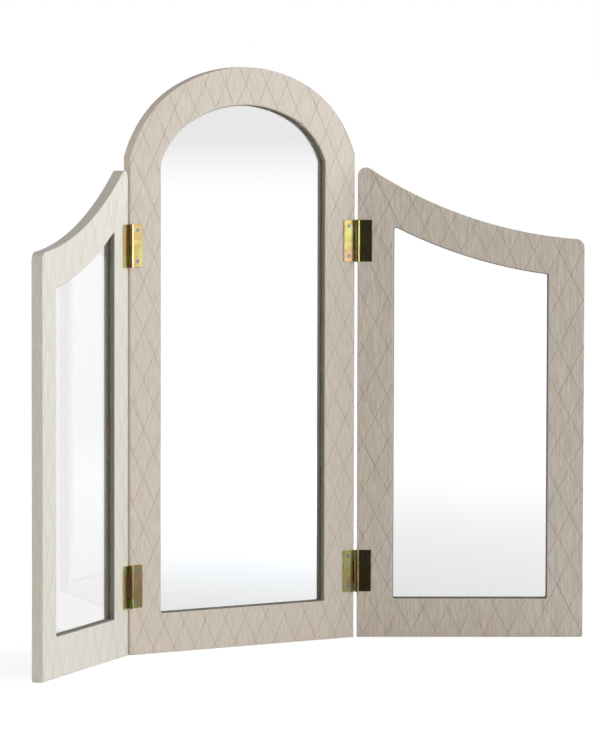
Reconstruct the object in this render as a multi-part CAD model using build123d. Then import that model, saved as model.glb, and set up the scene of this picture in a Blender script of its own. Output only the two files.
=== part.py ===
"""Folding vanity mirror: an arched centre panel with a swept wing hinged to each side.

Units are millimetres. X runs to the viewer's right, the front faces -Y and +Z is up.
The origin is the middle of the centre panel's foot, at mid thickness. The wings stand
folded forward, as in the photograph, so that the three feet share one floor.
"""
import os
from math import asin, cos, radians, sin, sqrt

from build123d import *

# Wooden panels
panel_t = 13.5
panel_gap = 2.0
rest_fold = 35.3
outer_arris = 0.8

# Centre panel, with a three-centred arch
centre_w = 332.0
centre_h = 696.0
spring_h = 590.5
crown_r = 210.0
crown_half_deg = 27.0
band = 46.0
rail = 48.0

# Wings, with a hollow sweep along the top
wing_w = 277.0
wing_inner_stile = 44.5
wing_outer_stile = 45.0
sweep_r = 535.0
sweep_s = 307.5
sweep_z = 1021.0
sweep_band = 46.5
wing_corner_r = 10.0

# Sight openings and the rebates behind them
reveal = 6.0
sight_arris = 3.0
sight_corner_r = 2.0
glass_t = 4.0
glass_lap = 8.0
glass_play = 0.5
hardboard_t = 3.0
ledge = 10.0
hardboard_play = 0.5

# Hardboard screws, set in the ledge
back_screw_r = 1.5
back_screw_head_r = 2.8
back_screw_len = 9.0
centre_side_screw_z = (200.0, 440.0)
centre_foot_screw_x = 70.0
wing_foot_screw_inset = 50.0
wing_side_screw_z = (255.0, 225.0)
wing_top_screw_s = (92.0, 190.0)

# Butt hinges, laid on the front faces
hinge_h = 50.8
hinge_top_z = 485.3
hinge_foot_z = 81.5
knuckle_r = 3.4
pin_r = 2.05
pin_play = 0.05
pin_stand = 0.5
pin_chamfer = 0.4
leaf_reach = 18.0
leaf_corner_r = 0.6
knuckle_splits = (0.25, 0.73)
knuckle_play = 0.2
knuckle_clear = 0.4
curl_gap = 0.3

# Hinge screws
hinge_screw_s = 11.0
hinge_screw_pitch = 36.6
hinge_screw_head_r = 2.75
hinge_screw_r = 1.45
hinge_screw_len = 9.0
screw_point = 2.0
screw_point_r = 0.3
recess_len = 3.0
recess_w = 0.6
recess_deep = 0.8
recess_taper = 12.0

# Sizes that follow from those above
front_y = -panel_t / 2
centre_half = centre_w / 2
sight_half = centre_half - band
hinge_screw = (hinge_screw_r, hinge_screw_head_r, hinge_screw_len)
back_screw = (back_screw_r, back_screw_head_r, back_screw_len)
upright = (Align.CENTER, Align.CENTER, Align.MIN)
to_left = (Align.MAX, Align.CENTER, Align.MIN)
crown_z = centre_h - crown_r
board_lap = glass_lap + ledge
ledge_mid = glass_lap + ledge / 2
axis_x = centre_half + panel_gap / 2
axis_y = front_y - knuckle_r
leaf_t = knuckle_r - pin_r - pin_play
spring_dx = centre_half
spring_dz = spring_h - crown_z
crown_half = radians(crown_half_deg)
along = spring_dx * sin(crown_half) + spring_dz * cos(crown_half)
spring_sq = spring_dx ** 2 + spring_dz ** 2
shoulder_r = (spring_sq - 2 * crown_r * along + crown_r ** 2) / (2 * (crown_r - along))
shoulder_x = (crown_r - shoulder_r) * sin(crown_half)
shoulder_z = crown_z + (crown_r - shoulder_r) * cos(crown_half)


def polar(x, z, radius, angle):
    """Point on a circle, with the angle measured from straight up towards +X."""
    return (x + radius * sin(angle), z + radius * cos(angle))


def across(point):
    """Mirror image of a point over the panel's middle line."""
    return (-point[0], point[1])


def arch_face(grow):
    """Centre panel's arched form, grown outwards from the sight line."""
    inset = band - grow
    half = centre_half - inset
    foot = rail - grow if grow < band else 0.0
    r_crown = crown_r - inset
    r_shoulder = shoulder_r - inset
    spring = asin((half - shoulder_x) / r_shoulder)
    springing = polar(shoulder_x, shoulder_z, r_shoulder, spring)
    haunch = polar(shoulder_x, shoulder_z, r_shoulder, (spring + crown_half) / 2)
    join = polar(0, crown_z, r_crown, crown_half)
    top = polar(0, crown_z, r_crown, 0)
    edges = [
        Line((-half, foot), (half, foot)),
        Line((half, foot), springing),
        ThreePointArc(springing, haunch, join),
        ThreePointArc(join, top, across(join)),
        ThreePointArc(across(join), across(haunch), across(springing)),
        Line(across(springing), (-half, foot)),
    ]
    return Face(Wire(edges))


def sweep_height(s, inset):
    """Height of the wing's swept top at a distance from its hinge edge."""
    return sweep_z - sqrt((sweep_r + inset) ** 2 - (s - sweep_s) ** 2)


def wing_face(near, far, foot, inset):
    """Right wing's form between two distances from its hinge edge."""
    edge_x = centre_half + panel_gap
    mid = (near + far) / 2
    tops = [(edge_x + s, sweep_height(s, inset)) for s in (near, mid, far)]
    edges = [
        Line((edge_x + near, foot), (edge_x + far, foot)),
        Line((edge_x + far, foot), tops[2]),
        ThreePointArc(tops[2], tops[1], tops[0]),
        Line(tops[0], (edge_x + near, foot)),
    ]
    return Face(Wire(edges))


def wing_sight(grow):
    """Wing's sight opening, grown outwards."""
    near = wing_inner_stile - grow
    far = wing_w - wing_outer_stile + grow
    return wing_face(near, far, rail - grow, sweep_band - grow)


def slab(face, depth_from, depth_to):
    """Solid between two depths behind the front face."""
    plane = Plane(origin=(0, front_y + depth_to, 0), x_dir=(1, 0, 0), z_dir=(0, -1, 0))
    return extrude(plane * face, depth_to - depth_from)


def panel(outline, sight):
    """Wooden panel with a sight opening and stepped rebates cut from the back."""
    opening = sight(0)
    corners = opening.vertices().sort_by(Axis.Y)[:4]
    body = slab(outline, 0, panel_t)
    body -= slab(opening.fillet_2d(sight_corner_r, corners), 0, panel_t)
    body -= slab(sight(glass_lap), reveal, panel_t)
    body -= slab(sight(board_lap), reveal + glass_t, panel_t)
    front = body.faces().sort_by(Axis.Y)[0]
    body = fillet(front.inner_wires()[0].edges(), sight_arris)
    front = body.faces().sort_by(Axis.Y)[0]
    body = fillet(front.outer_wire().edges(), outer_arris)
    back = body.faces().sort_by(Axis.Y)[-1]
    return fillet(back.outer_wire().edges(), outer_arris)


def screw_blank(radius, head_r, length):
    """Countersunk screw without its recess, from its head's face at Z = 0 downwards."""
    outline = [
        (0, 0),
        (head_r, 0),
        (radius, radius - head_r),
        (radius, screw_point - length),
        (screw_point_r, -length),
        (0, -length),
    ]
    return revolve(Plane.XZ * make_face(Polyline(*outline, close=True)), Axis.Z)


def screw(radius, head_r, length):
    """Countersunk screw with a cross recess."""
    body = screw_blank(radius, head_r, length)
    for turn in (0, 90):
        slot = Rot(0, 0, turn) * Rectangle(recess_len, recess_w)
        body -= extrude(slot, -recess_deep, taper=recess_taper)
    return body


def on_front(x, z):
    """Place of a hinge screw, with its head flush on the leaf."""
    return Pos(x, front_y - leaf_t, z) * Rot(90, 0, 0)


def on_back(x, z):
    """Place of a hardboard screw, with its head flush at the back."""
    return Pos(x, front_y + reveal + glass_t + hardboard_t, z) * Rot(-90, 0, 0)


def drilled(body, places, size):
    """Body with a fitting hole for each screw."""
    tool = screw_blank(*size)
    for place in places:
        body -= place * tool
    return body


def group(places, size):
    """Separate screws as one group."""
    return Compound([place * screw(*size) for place in places])


def leaf(knuckles, bore):
    """Hinge leaf reaching towards -X, with its knuckles rolled round the axis at X = 0."""
    plate = Rectangle(leaf_reach, hinge_h, align=(Align.MAX, Align.MIN))
    body = Pos(0, knuckle_r, 0) * extrude(Plane.XZ * plate, leaf_t)
    body = fillet(body.edges().filter_by(Axis.Y).group_by(Axis.X)[0], leaf_corner_r)
    start = 0.0
    for low, high in knuckles + [(hinge_h, hinge_h)]:
        if low > start:
            notch = Box(knuckle_r + knuckle_clear, 4 * knuckle_r, low - start, align=to_left)
            body -= Pos(0, 0, start) * notch
        start = high
    for low, high in knuckles:
        body += Pos(0, 0, low) * Cylinder(knuckle_r, high - low, align=upright)
    body -= Cylinder(bore, hinge_h, align=upright)
    slit = Box(knuckle_r, curl_gap, hinge_h, align=to_left)
    return body - Pos(0, knuckle_r - leaf_t - curl_gap / 2, 0) * slit


def pin():
    """Hinge pin with its ends just proud of the knuckles."""
    rod = Cylinder(pin_r, hinge_h + 2 * pin_stand, align=upright)
    return Pos(0, 0, -pin_stand) * chamfer(rod.edges().filter_by(GeomType.CIRCLE), pin_chamfer)


def folded(shape):
    """Right wing's piece, turned from the flat to the folded position."""
    axis = Pos(axis_x, axis_y, 0)
    return axis * Rot(0, 0, -rest_fold) * axis.inverse() * shape


def hinge(level):
    """Right hinge's centre leaf, wing leaf and pin, with the wing leaf folded."""
    foot = level - hinge_h / 2
    place = Pos(axis_x, axis_y, foot)
    low, high = (hinge_h * split for split in knuckle_splits)
    middle = [(low + knuckle_play / 2, high - knuckle_play / 2)]
    ends = [(0.0, low - knuckle_play / 2), (high + knuckle_play / 2, hinge_h)]
    centre_leaf = drilled(place * leaf(middle, pin_r), leaf_screws(-1, level), hinge_screw)
    wing_leaf = place * mirror(leaf(ends, pin_r + pin_play), about=Plane.YZ)
    wing_leaf = folded(drilled(wing_leaf, leaf_screws(1, level), hinge_screw))
    return {"centre_leaf": centre_leaf, "wing_leaf": wing_leaf, "pin": place * pin()}


def leaf_screws(side, level):
    """Places of one leaf's screws, on the centre's side (-1) or the wing's side (1)."""
    x = axis_x + side * hinge_screw_s
    return [on_front(x, level + up * hinge_screw_pitch / 2) for up in (-1, 1)]


def glazed(name, outline, sight, back_places, hinge_places):
    """Frame, glass, hardboard and hardboard screws of one panel."""
    seat = reveal + glass_t
    board = slab(sight(board_lap - hardboard_play), seat, seat + hardboard_t)
    frame = drilled(panel(outline, sight), back_places, back_screw)
    return {
        f"{name}_frame": drilled(frame, hinge_places, hinge_screw),
        f"{name}_glass": slab(sight(glass_lap - glass_play), reveal, seat),
        f"{name}_back_board": drilled(board, back_places, back_screw),
        f"{name}_back_screws": group(back_places, back_screw),
    }


def centre_back_places():
    """Eight hardboard screws: four up the sides, two in the foot and two in the arch."""
    side = sight_half + ledge_mid
    crown = crown_r - band + ledge_mid
    spots = [(side, z) for z in centre_side_screw_z]
    spots += [(centre_foot_screw_x, rail - ledge_mid), polar(0, crown_z, crown, crown_half)]
    return [on_back(turn * x, z) for turn in (-1, 1) for x, z in spots]


def wing_back_places():
    """Six hardboard screws: one up each side, two in the foot and two in the sweep."""
    near = wing_inner_stile
    far = wing_w - wing_outer_stile
    spots = [(near - ledge_mid, wing_side_screw_z[0]), (far + ledge_mid, wing_side_screw_z[1])]
    spots += [(s, rail - ledge_mid) for s in (near + wing_foot_screw_inset, far - wing_foot_screw_inset)]
    spots += [(s, sweep_height(s, sweep_band - ledge_mid)) for s in wing_top_screw_s]
    return [on_back(centre_half + panel_gap + s, z) for s, z in spots]


levels = {"top": hinge_top_z, "bottom": hinge_foot_z}
centre_hinge_places = [place for level in levels.values() for place in leaf_screws(-1, level)]
wing_hinge_places = [place for level in levels.values() for place in leaf_screws(1, level)]

# Right side, flat and then folded
wing_outline = wing_face(0, wing_w, 0.0, 0.0)
wing_outline = wing_outline.fillet_2d(wing_corner_r, wing_outline.vertices().sort_by(Axis.Y)[2:])
right = glazed("wing", wing_outline, wing_sight, wing_back_places(), wing_hinge_places)
right["wing_hinge_screws"] = group(wing_hinge_places, hinge_screw)
right = {name: folded(shape) for name, shape in right.items()}
for level_name, level in levels.items():
    for piece, shape in hinge(level).items():
        right[f"{level_name}_hinge_{piece}"] = shape

# Centre panel, with hinges along both sides
left_hinge_places = [on_front(-place.position.X, place.position.Z) for place in centre_hinge_places]
both_places = centre_hinge_places + left_hinge_places
nodes = glazed("centre", arch_face(band), arch_face, centre_back_places(), both_places)
nodes["centre_hinge_screws"] = group(both_places, hinge_screw)

# The left side mirrors the right one
for name, shape in right.items():
    nodes[f"right_{name}"] = shape
    nodes[f"left_{name}"] = mirror(shape, about=Plane.YZ)

os.makedirs("parts", exist_ok=True)
for name, shape in nodes.items():
    export_step(shape, f"parts/{name}.step")
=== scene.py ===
"""Looks of a folding vanity mirror: limed oak cut with a lattice, silvered glass, yellow zinc hinges."""
from math import ceil, floor, radians, sin

import bmesh
import bpy
from mathutils import Matrix, Vector


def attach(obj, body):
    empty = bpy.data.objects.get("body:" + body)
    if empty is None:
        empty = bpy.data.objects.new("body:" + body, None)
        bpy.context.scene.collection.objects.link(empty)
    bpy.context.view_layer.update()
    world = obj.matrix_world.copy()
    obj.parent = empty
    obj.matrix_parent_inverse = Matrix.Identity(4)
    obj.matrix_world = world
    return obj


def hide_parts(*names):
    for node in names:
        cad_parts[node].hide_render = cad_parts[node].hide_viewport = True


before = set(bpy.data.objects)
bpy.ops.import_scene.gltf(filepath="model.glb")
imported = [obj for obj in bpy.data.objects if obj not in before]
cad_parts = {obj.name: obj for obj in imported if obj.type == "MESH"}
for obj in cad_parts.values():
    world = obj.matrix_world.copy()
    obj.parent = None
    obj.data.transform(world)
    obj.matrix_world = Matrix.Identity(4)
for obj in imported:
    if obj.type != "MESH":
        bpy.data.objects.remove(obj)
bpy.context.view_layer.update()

# Panels, in metres: the body that carries each, its turn about an upright axis and where that
# axis stands, one crossing of its lattice in its own plane, and how wide the lattice's lines are
FOLD = radians(35.3)
AXIS_X = 0.167
AXIS_Y = -0.01015
PANELS = {
    "centre": {
        "body": "centre_panel", "turn": 0.0, "axis": (0.0, 0.0),
        "crossing": (-0.1466, 0.2097), "line": 0.0006,
    },
    "left_wing": {
        "body": "left_wing", "turn": FOLD, "axis": (-AXIS_X, AXIS_Y),
        "crossing": (-0.0218, 0.0935), "line": 0.0004,
    },
    "right_wing": {
        "body": "right_wing", "turn": -FOLD, "axis": (AXIS_X, AXIS_Y),
        "crossing": (0.0228, 0.0935), "line": 0.0008,
    },
}

# Levels of an unfolded panel: its front, and the screw heads at its back
FRONT_Y = -0.00675
BACK_HEADS_Y = 0.00625

# Thickness of a hinge plate, and the depths between which painted shade darkens a screw's cross recess
LEAF_T = 0.0013
PAINTED_RECESS_SHADE = (0.00008, 0.0004)

# Incised lattice: upright diamonds, whose lines are V-shaped cuts. The cutters stand a little
# proud of the wood, and each line shifts and turns a little more or less than the one before it
DIAMOND_W = 0.0298
DIAMOND_H = 0.0583
CUT_SLOPE = 0.7
CUT_OVER = 0.0002
CUT_WANDER = 0.0005
SHIFT_STEP = 2.4
TURN_STEP = 5.1

# Meshes: points closer than this are one, and edges sharper than this stay crisp
WELD = 1e-6
SHARP = radians(30)

# Sides, told by how squarely they face the front: those level with it, the walls of the cuts to
# within a little, and the most that a side of the reveal does
LEVEL = 0.9999
WALL_MATCH = 0.002
REVEAL_MOST = 0.8

# Room between the glass and the wood and board that hold it
GLASS_CLEAR = 0.00004

# Sizes of the patterns, in millimetres: across and along the wood's grain, across and along the
# drift of its tint, the board's flecks and the patches of the zinc's film
GRAIN = (1.316, 20.0)
DRIFT = (7.69, 41.7)
FLECK = 2.38
FILM = 20.83

# Colours of the wood, from its dark pores to its paste, then the tints that drift over it
OAK = {
    # Painted light and shade in part: the left wing's set is paler and cooler and the right wing's
    # darker, partly the wood's own tone
    "centre": ("C5B3A0", "E9DBCA", "E2CFBB", "DFD4C9", "D8D7C5"),
    "left_wing": ("CDC3B4", "E9E2D5", "E4D7C6", "E4DED4", "DEDED1"),
    "right_wing": ("B7A693", "E9DDCD", "E0CDB9", "DED2C9", "D6D5C5"),
    # Painted shade, in part: darker wood for the reveal's recessed walls, with some of it bare wood that
    # the paste misses
    "reveal": ("7D7668", "9A9383", "928777", "8F8A7D", "8D8D7D"),
    # Painted shade: darker wood in the lattice's cuts
    "cut": ("9E9182", "CCC1B1", "BFAE9C", "BDB3A7", "B4B3A5"),
}
TINT_SHARE = 0.42
WHITE = "FFFFFF"

# Studio floor, in metres: its reach each way, and how far it lies below the feet
FLOOR = 150.0
FLOOR_DROP = 0.0005

# How bright the floor glows, where 1 is white: for the camera, and in a mirror, where it forms a
# painted pool of light, with painted shade over one span of distances near the object and a fade over
# another far from it
FLOOR_SEEN = 0.6
POOL = 0.62
POOL_NEAR = (0.3, 3.0)
POOL_PAINTED_SHADE_LEVEL = 0.26
POOL_FAR = (10.0, 45.0)
POOL_FAR_LEVEL = 0.34
PAPER = "F4F4F4"
# Painted reflection: the paper's colour that metal and mirrors see, dark grey
PAPER_ON_METAL = "303030"

# Painted reflection for bare metal: a bright side, in this level direction, that only glossy rays see and
# that the floor joins over a span
BRIGHT_SIDE = (0.95, -0.31, 0.0)
BRIGHT_SPAN = (0.1, 0.8)
BRIGHT_LEVELS = (0.05, 1.35)
BRIGHT_FLOOR_SPAN = (0.3, 6.0)
BRIGHT_FLOOR_LEVEL = 1.2

# Soft light all round, at the horizon and overhead, and one softbox at the right
SOFT_LEVELS = (1.4, 0.04)
SOFTBOX_PLACE = (2.6, -1.2, 0.9)
SOFTBOX_AIM = (0.0, 0.0, 0.35)
SOFTBOX_SIZE = (1.6, 1.8)
SOFTBOX_POWER = 55.0
SOFTBOX_COLOUR = "ECF6FF"

# Painted reflection: a glowing white card before the left wing, in that wing's plane: its distance, its
# sides and its ends
CARD_OFF = 0.01
CARD_X = (-0.215, 0.01)
CARD_Z = (-0.02, 0.62)

# Camera: focal length and picture width in pixels, sensor in millimetres, place and turn
FOCAL_PX = 4975.7
PICTURE_PX = 600
SENSOR = 36.0
CAMERA_PLACE = (-3.48162, -4.85007, 0.6964)
CAMERA_TURN = (90 - 3.542, -0.139, -36.347)
CAMERA_REACH = 500.0

# Sockets of a node that mixes colours, and of one that mixes numbers
MIX_A = 6
MIX_B = 7
MIXED = 2
LOW = 2
HIGH = 3


def linear(code):
    """Linear colour of an sRGB hex code."""
    channels = [int(code[i:i + 2], 16) / 255 for i in (0, 2, 4)]
    low = [c / 12.92 for c in channels]
    high = [((c + 0.055) / 1.055) ** 2.4 for c in channels]
    return [h if c > 0.04045 else l for c, l, h in zip(channels, low, high)] + [1.0]


def add(tree, kind, inputs=None, **settings):
    """Node of a kind with its settings, and its sockets set to values or linked to nodes."""
    node = tree.nodes.new(kind)
    for name, value in settings.items():
        setattr(node, name, value)
    for socket, value in (inputs or {}).items():
        if isinstance(value, bpy.types.Node):
            value = value.outputs[0]
        if isinstance(value, bpy.types.NodeSocket):
            tree.links.new(value, node.inputs[socket])
        else:
            node.inputs[socket].default_value = value
    return node


def new_material(name):
    """Empty node material and its tree."""
    material = bpy.data.materials.new(name)
    material.use_nodes = True
    material.node_tree.nodes.clear()
    return material, material.node_tree


def stops(ramp, *places):
    """Gives a colour ramp its places and colours."""
    for element, (position, code) in zip((ramp.elements[0], ramp.elements[1]), (places[0], places[-1])):
        element.position = position
        element.color = linear(code)
    for position, code in places[1:-1]:
        ramp.elements.new(position).color = linear(code)


def per_metre(size):
    """How many times a pattern of a size in millimetres comes in a metre."""
    return 1000 / size


def along_grain(sizes):
    """Scale of a pattern in upright wood, from its sizes across and along the grain."""
    across, along = (per_metre(size) for size in sizes)
    return across, across, along


def panel_matrix(panel):
    """Place of a panel's own plane: X across from its axis, Y into its depth, Z up."""
    x, y = PANELS[panel]["axis"]
    return Matrix.Translation((x, y, 0.0)) @ Matrix.Rotation(PANELS[panel]["turn"], 4, "Z")


def depth_in(panel, level):
    """Depth in the panel's own plane of a level of the unfolded panel."""
    return level - PANELS[panel]["axis"][1]


def outwards(panel):
    """Direction that a panel's front faces."""
    return panel_matrix(panel).to_3x3() @ Vector((0.0, -1.0, 0.0))


def panel_point(tree, panel):
    """Point in the panel's own plane, as if it weren't folded."""
    back = panel_matrix(panel).inverted()
    place = add(tree, "ShaderNodeTexCoord")
    return add(tree, "ShaderNodeMapping",
               {"Vector": place.outputs["Object"], "Rotation": back.to_euler(),
                "Location": back.to_translation()})


def limed_oak(name, panel, colours):
    """Limed oak: pale paste in short upright grain, with warm and green drifts.

    Its grain is drawn coarser than oak's, so that it still shows from a few metres away.
    """
    material, tree = new_material(name)
    pore, paste, warm, plain, green = colours
    place = panel_point(tree, panel)
    fine = add(tree, "ShaderNodeMapping", {"Vector": place, "Scale": along_grain(GRAIN)})
    grain = add(tree, "ShaderNodeTexNoise",
                {"Vector": fine, "Scale": 1.0, "Detail": 3.0, "Roughness": 0.66})
    broad = add(tree, "ShaderNodeMapping", {"Vector": place, "Scale": along_grain(DRIFT)})
    drift = add(tree, "ShaderNodeTexNoise",
                {"Vector": broad, "Scale": 1.0, "Detail": 2.0, "Roughness": 0.6})
    body = add(tree, "ShaderNodeValToRGB", {"Fac": grain})
    stops(body.color_ramp, (0.3, pore), (0.64, paste))
    tint = add(tree, "ShaderNodeValToRGB", {"Fac": drift})
    stops(tint.color_ramp, (0.32, warm), (0.5, plain), (0.68, green))
    colour = add(tree, "ShaderNodeMix", {0: TINT_SHARE, MIX_A: body, MIX_B: tint}, data_type="RGBA")
    bump = add(tree, "ShaderNodeBump", {"Height": grain, "Strength": 0.3, "Distance": 0.00012})
    shader = add(tree, "ShaderNodeBsdfPrincipled",
                 {"Base Color": colour.outputs[MIXED], "Roughness": 0.6, "Specular IOR Level": 0.35,
                  "Normal": bump})
    add(tree, "ShaderNodeOutputMaterial", {"Surface": shader})
    return material


def clear_glass():
    """Float glass: clear and smooth, so that only the film behind it shows."""
    material, tree = new_material("clear_float_glass")
    shader = add(tree, "ShaderNodeBsdfPrincipled",
                 {"Base Color": linear(WHITE), "Roughness": 0.0, "IOR": 1.52, "Transmission Weight": 1.0})
    add(tree, "ShaderNodeOutputMaterial", {"Surface": shader})
    return material


def silver_film():
    """Silvered back of the glass: a bright neutral metal film."""
    material, tree = new_material("silver_film")
    shader = add(tree, "ShaderNodeBsdfPrincipled",
                 {"Base Color": linear(WHITE), "Metallic": 1.0, "Roughness": 0.0})
    add(tree, "ShaderNodeOutputMaterial", {"Surface": shader})
    return material


def brown_hardboard():
    """Brown hardboard: smooth pressed fibre with small flecks."""
    material, tree = new_material("brown_hardboard")
    place = add(tree, "ShaderNodeTexCoord")
    fleck = add(tree, "ShaderNodeTexNoise",
                {"Vector": place.outputs["Object"], "Scale": per_metre(FLECK), "Detail": 4.0,
                 "Roughness": 0.7})
    colour = add(tree, "ShaderNodeValToRGB", {"Fac": fleck})
    stops(colour.color_ramp, (0.3, "6B4B30"), (0.7, "8E6A48"))
    bump = add(tree, "ShaderNodeBump", {"Height": fleck, "Strength": 0.2, "Distance": 0.0001})
    shader = add(tree, "ShaderNodeBsdfPrincipled",
                 {"Base Color": colour, "Roughness": 0.55, "Normal": bump})
    add(tree, "ShaderNodeOutputMaterial", {"Surface": shader})
    return material


def yellow_zinc():
    """Yellow passivated zinc on steel: a thin gold film that drifts to green and to pink."""
    material, tree = new_material("yellow_zinc_passivate")
    place = add(tree, "ShaderNodeTexCoord")
    drift = add(tree, "ShaderNodeTexNoise",
                {"Vector": place.outputs["Object"], "Scale": per_metre(FILM), "Detail": 2.0,
                 "Roughness": 0.5})
    colour = add(tree, "ShaderNodeValToRGB", {"Fac": drift})
    stops(colour.color_ramp, (0.3, "CBD596"), (0.42, "D6D284"), (0.52, "D0B974"), (0.62, "D8AE86"),
          (0.72, "D6C48C"))
    shader = add(tree, "ShaderNodeBsdfPrincipled",
                 {"Base Color": colour, "Metallic": 1.0, "Roughness": 0.26})
    add(tree, "ShaderNodeOutputMaterial", {"Surface": shader})
    return material


def bright_zinc(name, panel, heads, inward):
    """Bright zinc plate: pale grey metal with a soft shine, and painted shade in the cross recess."""
    material, tree = new_material(name)
    axes = add(tree, "ShaderNodeSeparateXYZ", {0: panel_point(tree, panel)})
    # Painted shade: below the head's level the cross recess turns dark grey
    recess_shade_mask = add(tree, "ShaderNodeMapRange",
               {"Value": axes.outputs["Y"], "From Min": heads + inward * PAINTED_RECESS_SHADE[0],
                "From Max": heads + inward * PAINTED_RECESS_SHADE[1]})
    colour = add(tree, "ShaderNodeValToRGB", {"Fac": recess_shade_mask})
    stops(colour.color_ramp, (0.0, "A9A8AA"), (1.0, "2E2B2A"))
    shader = add(tree, "ShaderNodeBsdfPrincipled",
                 {"Base Color": colour, "Metallic": 1.0, "Roughness": 0.34})
    add(tree, "ShaderNodeOutputMaterial", {"Surface": shader})
    return material


def link(name, data):
    """New object in the scene."""
    made = bpy.data.objects.new(name, data)
    bpy.context.scene.collection.objects.link(made)
    return made


def cut_line(work, panel, start, end):
    """Adds one V-shaped cutter between two points of the panel's plane."""
    front = depth_in(panel, FRONT_Y)
    half = PANELS[panel]["line"] / 2
    along = (end - start).normalized()
    aside = Vector((along.z, 0.0, -along.x)) * (half + CUT_OVER / CUT_SLOPE)
    over = Vector((0.0, front - CUT_OVER, 0.0))
    deep = Vector((0.0, front + CUT_SLOPE * half, 0.0))
    ends = [[work.verts.new(point + offset) for offset in (aside + over, deep, over - aside)]
            for point in (start, end)]
    work.faces.new(ends[0])
    work.faces.new(ends[1][::-1])
    for i in range(3):
        j = (i + 1) % 3
        work.faces.new((ends[0][j], ends[0][i], ends[1][i], ends[1][j]))


def lattice_cutter(panel, lean, low, high):
    """Every line of the lattice that leans one way, as one cutting piece."""
    work = bmesh.new()
    cross_x, cross_z = PANELS[panel]["crossing"]
    rise = [(z - cross_z) / DIAMOND_H * lean for z in (low.z, high.z)]
    first = ceil((low.x - cross_x) / DIAMOND_W + min(rise))
    last = floor((high.x - cross_x) / DIAMOND_W + max(rise))
    for k in range(first, last + 1):
        shift = CUT_WANDER * sin(SHIFT_STEP * k + lean)
        turn = CUT_WANDER * sin(TURN_STEP * k)
        start, end = (Vector((cross_x + DIAMOND_W * (k - r) + shift + side * turn, 0.0, z))
                      for r, z, side in zip(rise, (low.z, high.z), (-1, 1)))
        cut_line(work, panel, start, end)
    bmesh.ops.recalc_face_normals(work, faces=work.faces)
    mesh = bpy.data.meshes.new("lattice_cutter")
    work.to_mesh(mesh)
    mesh.transform(panel_matrix(panel))
    return link("lattice_cutter", mesh)


def plain_frame(panel):
    """Copy of the panel's plain frame with its points joined."""
    work = bmesh.new()
    work.from_mesh(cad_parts[panel + "_frame"].data)
    bmesh.ops.remove_doubles(work, verts=work.verts, dist=WELD)
    mesh = bpy.data.meshes.new("plain_frame")
    work.to_mesh(mesh)
    return link("plain_frame", mesh)


def cut_mesh(panel):
    """Mesh of the panel's frame with the lattice cut into its front, and its middle."""
    blank = plain_frame(panel)
    matrix = panel_matrix(panel)
    flat = [matrix.inverted() @ vertex.co for vertex in blank.data.vertices]
    low = Vector([min(point[i] for point in flat) - DIAMOND_W for i in range(3)])
    high = Vector([max(point[i] for point in flat) + DIAMOND_W for i in range(3)])
    cutters = [lattice_cutter(panel, lean, low, high) for lean in (-1, 1)]
    for cutter in cutters:
        cutting = blank.modifiers.new("lattice", "BOOLEAN")
        cutting.object = cutter
        cutting.operation = "DIFFERENCE"
        cutting.solver = "MANIFOLD"
    bpy.context.view_layer.update()
    shown = blank.evaluated_get(bpy.context.evaluated_depsgraph_get())
    carved = bpy.data.meshes.new_from_object(shown)
    for spare in cutters + [blank]:
        bpy.data.meshes.remove(spare.data)
    return carved, matrix @ ((low + high) / 2)


def sort_sides(mesh, front, middle):
    """Numbers the mesh's faces 1 in the reveal, 2 in the cuts and 0 elsewhere, with clean shading."""
    mesh.materials.clear()
    work = bmesh.new()
    work.from_mesh(mesh)
    bmesh.ops.dissolve_degenerate(work, edges=work.edges, dist=WELD)
    wall = 1 / (1 + CUT_SLOPE ** 2) ** 0.5
    for side in work.faces:
        side.smooth = True
        facing = side.normal.dot(front)
        inwards = side.normal.dot(middle - side.calc_center_median()) > 0
        # The cuts' walls and the reveal's sides take the darker sets, which are painted shade
        if abs(facing - wall) < WALL_MATCH:
            side.material_index = 2
        elif abs(facing) < REVEAL_MOST and inwards:
            side.material_index = 1
        else:
            side.material_index = 0
    for edge in work.edges:
        sides = edge.link_faces
        levels = {abs(side.normal.dot(front)) > LEVEL for side in sides}
        alike = len(sides) == 2 and len(levels) == 1
        edge.smooth = alike and sides[0].normal.angle(sides[1].normal, 0.0) < SHARP
    work.to_mesh(mesh)


def cut_frame(panel, *materials):
    """Panel frame with the lattice cut into its front, in place of the plain one."""
    mesh, middle = cut_mesh(panel)
    sort_sides(mesh, outwards(panel), middle)
    for material in materials:
        mesh.materials.append(material)
    piece = link(panel + "_lattice_frame", mesh)
    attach(piece, PANELS[panel]["body"])
    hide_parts(panel + "_frame")


def dress(node, *materials):
    """Gives a CAD node its materials."""
    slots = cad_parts[node].data.materials
    slots.clear()
    for material in materials:
        slots.append(material)


def glaze(panel, glass, silver):
    """Glass with a silvered back, a hair clear of the wood and board that hold it."""
    dress(panel + "_glass", glass, silver)
    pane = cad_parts[panel + "_glass"]
    front = outwards(panel)
    for side in pane.data.polygons:
        side.material_index = 1 if side.normal.dot(front) < -LEVEL else 0
    shrink = pane.modifiers.new("clear_of_its_seat", "DISPLACE")
    shrink.mid_level = 0.0
    shrink.strength = -GLASS_CLEAR


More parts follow.
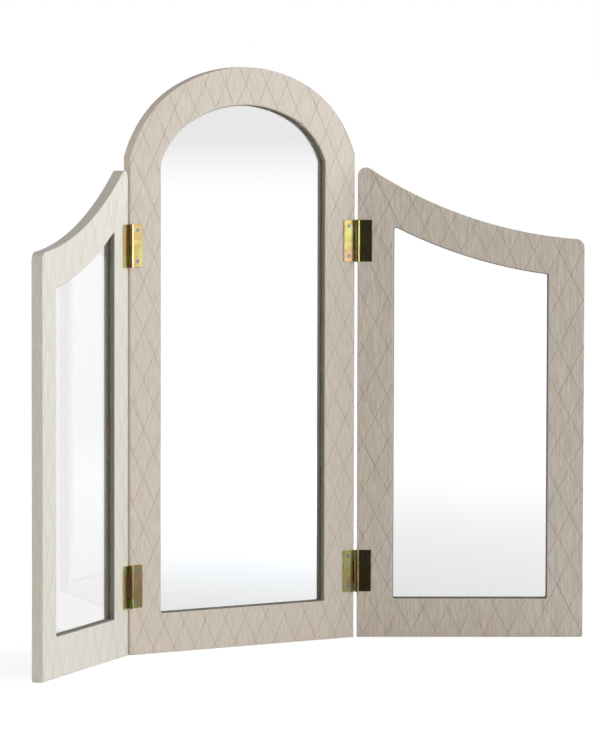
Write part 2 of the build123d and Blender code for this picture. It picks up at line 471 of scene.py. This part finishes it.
def finish_panel(panel, board, glass, silver):
    """Wood, mirror, board and screws of one panel."""
    face = limed_oak("limed_oak_" + panel, panel, OAK[panel])
    reveal = limed_oak("limed_oak_reveal_" + panel, panel, OAK["reveal"])
    cut = limed_oak("limed_oak_cut_" + panel, panel, OAK["cut"])
    cut_frame(panel, face, reveal, cut)
    glaze(panel, glass, silver)
    dress(panel + "_back_board", board)
    heads = depth_in(panel, BACK_HEADS_Y)
    dress(panel + "_back_screws", bright_zinc("back_screw_zinc_" + panel, panel, heads, -1))
    heads = depth_in(panel, FRONT_Y - LEAF_T)
    dress(panel + "_hinge_screws", bright_zinc("hinge_screw_zinc_" + panel, panel, heads, 1))


board = brown_hardboard()
glass = clear_glass()
silver = silver_film()
for panel in PANELS:
    finish_panel(panel, board, glass, silver)

gold = yellow_zinc()
for side in ("left", "right"):
    for level in ("top", "bottom"):
        for piece in ("centre_leaf", "wing_leaf", "pin"):
            dress(f"{side}_{level}_hinge_{piece}", gold)


def stage_sheet(name, corners, material):
    """Flat four-cornered piece of the stage."""
    mesh = bpy.data.meshes.new(name)
    mesh.from_pydata(corners, [], [(0, 1, 2, 3)])
    mesh.materials.append(material)
    sheet = link(name, mesh)
    return sheet


def mirrored_floor(tree, place):
    """How bright a mirror shows the floor: a painted pool of light, darkened near the object by painted
    shade and faded far from it.
    """
    far = add(tree, "ShaderNodeVectorMath", {0: place.outputs["Object"]}, operation="LENGTH")
    # Painted shade near the object, where the pool fades
    painted_shade_near = add(tree, "ShaderNodeMapRange",
                    {"Value": far.outputs["Value"], "From Min": POOL_NEAR[0], "From Max": POOL_NEAR[1],
                     "To Min": POOL_PAINTED_SHADE_LEVEL, "To Max": POOL}, interpolation_type="SMOOTHSTEP")
    far_fade = add(tree, "ShaderNodeMapRange",
                   {"Value": far.outputs["Value"], "From Min": POOL_FAR[0], "From Max": POOL_FAR[1],
                    "To Min": POOL, "To Max": POOL_FAR_LEVEL}, interpolation_type="SMOOTHSTEP")
    return add(tree, "ShaderNodeMath", {0: painted_shade_near, 1: far_fade}, operation="MINIMUM")


def floor_on_metal(tree, place):
    """Painted reflection: how bright bare metal shows the floor, brighter towards the bright side."""
    aside = add(tree, "ShaderNodeVectorMath", {0: place.outputs["Object"], 1: BRIGHT_SIDE},
                operation="DOT_PRODUCT")
    return add(tree, "ShaderNodeMapRange",
               {"Value": aside.outputs["Value"], "From Min": BRIGHT_FLOOR_SPAN[0],
                "From Max": BRIGHT_FLOOR_SPAN[1], "To Min": 0.0, "To Max": BRIGHT_FLOOR_LEVEL})


def white_paper():
    """White paper: matt, with the object's shadow on it, and a glow of its own where it is seen, which in
    mirrors and metal is a painted reflection.
    """
    material, tree = new_material("white_paper_floor")
    rays = add(tree, "ShaderNodeLightPath")
    place = add(tree, "ShaderNodeTexCoord")
    # Painted reflection: for metal and mirrors the paper turns dark grey and its glow gives them a bright
    # side and a pool
    in_gloss = add(tree, "ShaderNodeMath",
                   {0: floor_on_metal(tree, place), 1: rays.outputs["Is Glossy Ray"]},
                   operation="MULTIPLY")
    in_mirror = add(tree, "ShaderNodeMix",
                    {0: rays.outputs["Is Transmission Ray"], LOW: in_gloss,
                     HIGH: mirrored_floor(tree, place)}, data_type="FLOAT")
    glow = add(tree, "ShaderNodeMix",
               {0: rays.outputs["Is Camera Ray"], LOW: in_mirror, HIGH: FLOOR_SEEN}, data_type="FLOAT")
    shine = add(tree, "ShaderNodeEmission", {"Strength": glow})
    on_metal = add(tree, "ShaderNodeMath",
                   {0: rays.outputs["Is Glossy Ray"], 1: rays.outputs["Is Transmission Ray"]},
                   operation="GREATER_THAN")
    shade = add(tree, "ShaderNodeMix",
                {0: on_metal, MIX_A: linear(PAPER), MIX_B: linear(PAPER_ON_METAL)}, data_type="RGBA")
    diffuse = add(tree, "ShaderNodeBsdfDiffuse", {"Color": shade.outputs[MIXED]})
    both = add(tree, "ShaderNodeAddShader", {0: diffuse, 1: shine})
    add(tree, "ShaderNodeOutputMaterial", {"Surface": both})
    return material


def studio_floor():
    """Level floor, a hair below the feet."""
    corners = [(x * FLOOR, y * FLOOR, 0.0) for x, y in ((-1, -1), (1, -1), (1, 1), (-1, 1))]
    stage_sheet("studio_floor", corners, white_paper()).location.z = -FLOOR_DROP


def painted_reflection_card():
    """Glowing white card before the left wing at rest, which only mirrors show: a painted reflection."""
    material, tree = new_material("painted_reflection_card")
    shine = add(tree, "ShaderNodeEmission", {"Strength": 1.0})
    add(tree, "ShaderNodeOutputMaterial", {"Surface": shine})
    depth = depth_in("left_wing", FRONT_Y) - CARD_OFF
    corners = [panel_matrix("left_wing") @ Vector((CARD_X[i], depth, CARD_Z[j]))
               for i, j in ((0, 0), (1, 0), (1, 1), (0, 1))]
    card = stage_sheet("painted_reflection_card", corners, material)
    for ray in ("camera", "diffuse", "glossy", "shadow", "volume_scatter"):
        setattr(card, "visible_" + ray, False)


def studio_world():
    """World: white where it is seen, soft light that is weaker overhead, and a painted reflection for
    metal: a bright side that only glossy rays see.
    """
    world = bpy.data.worlds.new("studio")
    bpy.context.scene.world = world
    world.use_nodes = True
    tree = world.node_tree
    tree.nodes.clear()
    rays = add(tree, "ShaderNodeLightPath")
    way = add(tree, "ShaderNodeTexCoord")
    axes = add(tree, "ShaderNodeSeparateXYZ", {0: way.outputs["Generated"]})
    soft = add(tree, "ShaderNodeMapRange",
               {"Value": axes.outputs["Z"], "To Min": SOFT_LEVELS[0], "To Max": SOFT_LEVELS[1]})
    aside = add(tree, "ShaderNodeVectorMath", {0: way.outputs["Generated"], 1: BRIGHT_SIDE},
                operation="DOT_PRODUCT")
    # Painted reflection: a bright side that only glossy rays see
    bright = add(tree, "ShaderNodeMapRange",
                 {"Value": aside.outputs["Value"], "From Min": BRIGHT_SPAN[0],
                  "From Max": BRIGHT_SPAN[1], "To Min": BRIGHT_LEVELS[0],
                  "To Max": BRIGHT_LEVELS[1]}, interpolation_type="SMOOTHSTEP")
    lit = add(tree, "ShaderNodeMix",
              {0: rays.outputs["Is Glossy Ray"], LOW: soft, HIGH: bright}, data_type="FLOAT")
    seen = add(tree, "ShaderNodeMath",
               {0: rays.outputs["Is Camera Ray"], 1: rays.outputs["Is Transmission Ray"]},
               operation="MAXIMUM")
    strength = add(tree, "ShaderNodeMix", {0: seen, LOW: lit, HIGH: 1.0}, data_type="FLOAT")
    sky = add(tree, "ShaderNodeBackground", {"Color": linear(WHITE), "Strength": strength})
    add(tree, "ShaderNodeOutputWorld", {"Surface": sky})


def right_softbox():
    """Rectangular lamp at the right that looks at the object."""
    data = bpy.data.lights.new("right_softbox", "AREA")
    data.shape = "RECTANGLE"
    data.size, data.size_y = SOFTBOX_SIZE
    data.energy = SOFTBOX_POWER
    data.color = linear(SOFTBOX_COLOUR)[:3]
    lamp = link("right_softbox", data)
    lamp.location = SOFTBOX_PLACE
    beam = Vector(SOFTBOX_AIM) - Vector(SOFTBOX_PLACE)
    lamp.rotation_euler = beam.to_track_quat("-Z", "Y").to_euler()


def picture_camera():
    """Camera that frames the object as in the photograph."""
    data = bpy.data.cameras.new("camera")
    data.sensor_fit = "HORIZONTAL"
    data.sensor_width = SENSOR
    data.lens = FOCAL_PX / PICTURE_PX * SENSOR
    data.clip_end = CAMERA_REACH
    camera = link("camera", data)
    camera.location = CAMERA_PLACE
    camera.rotation_euler = [radians(angle) for angle in CAMERA_TURN]
    bpy.context.scene.camera = camera
    bpy.context.scene.view_settings.view_transform = "Standard"


studio_floor()
painted_reflection_card()
studio_world()
right_softbox()
picture_camera()
